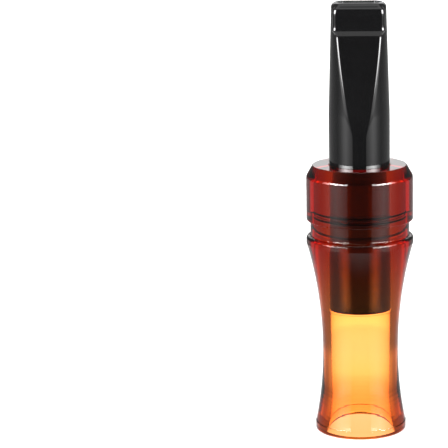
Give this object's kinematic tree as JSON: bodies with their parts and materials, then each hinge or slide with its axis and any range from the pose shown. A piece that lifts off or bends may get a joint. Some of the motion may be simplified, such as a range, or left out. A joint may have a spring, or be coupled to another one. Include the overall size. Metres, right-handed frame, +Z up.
{
  "type": "duck call",
  "caption": "Hand-held reed game call: clear amber hourglass barrel, black mouthpiece tube with a flat bit, and a removable sound board with its reed.",
  "frame": {"origin": "centre of the bell's end, which the call stands on", "axes": "+Z up the call's axis towards the mouthpiece's tip; the flat facets of the bit face -Y and +Y"},
  "size_m": [0.0322, 0.0322, 0.13],
  "materials": {
    "amber_acrylic": "polished clear amber acrylic",
    "black_plastic": "glossy moulded ABS",
    "ring_rubber": "matte nitrile rubber",
    "board_plastic": "satin moulded ABS",
    "reed_film": "frosted polyester film",
    "wedge_cork": "natural cork"
  },
  "bodies": {
    "barrel": {"barrel": "amber_acrylic"},
    "seal_rings": {"upper_o_ring": "ring_rubber", "lower_o_ring": "ring_rubber"},
    "mouthpiece": {"mouthpiece": "black_plastic"},
    "sound_board": {"sound_board": "board_plastic", "board_o_ring": "ring_rubber", "reed_wedge": "wedge_cork"},
    "reed": {"reed": "reed_film"}
  },
  "joints": [
    {"name": "mouthpiece_slide", "type": "slide", "parent": "barrel", "child": "seal_rings", "axis": [0, 0, 1], "range_m": [0, 0.05]},
    {"name": "mouthpiece_twist", "type": "hinge", "parent": "seal_rings", "child": "mouthpiece", "pos_m": [0, 0, 0.06635], "axis": [0, 0, 1], "continuous": true},
    {"name": "board_slide", "type": "slide", "parent": "mouthpiece", "child": "sound_board", "axis": [0, 0, -1], "range_m": [0, 0.0363]},
    {"name": "reed_flex", "type": "hinge", "parent": "sound_board", "child": "reed", "pos_m": [0, -0.00019, 0.0535], "axis": [1, 0, 0], "range_deg": [-1.8, 2.5], "stiffness_Nm_per_rad": 0.02, "deforming": ["reed"]}
  ]
}
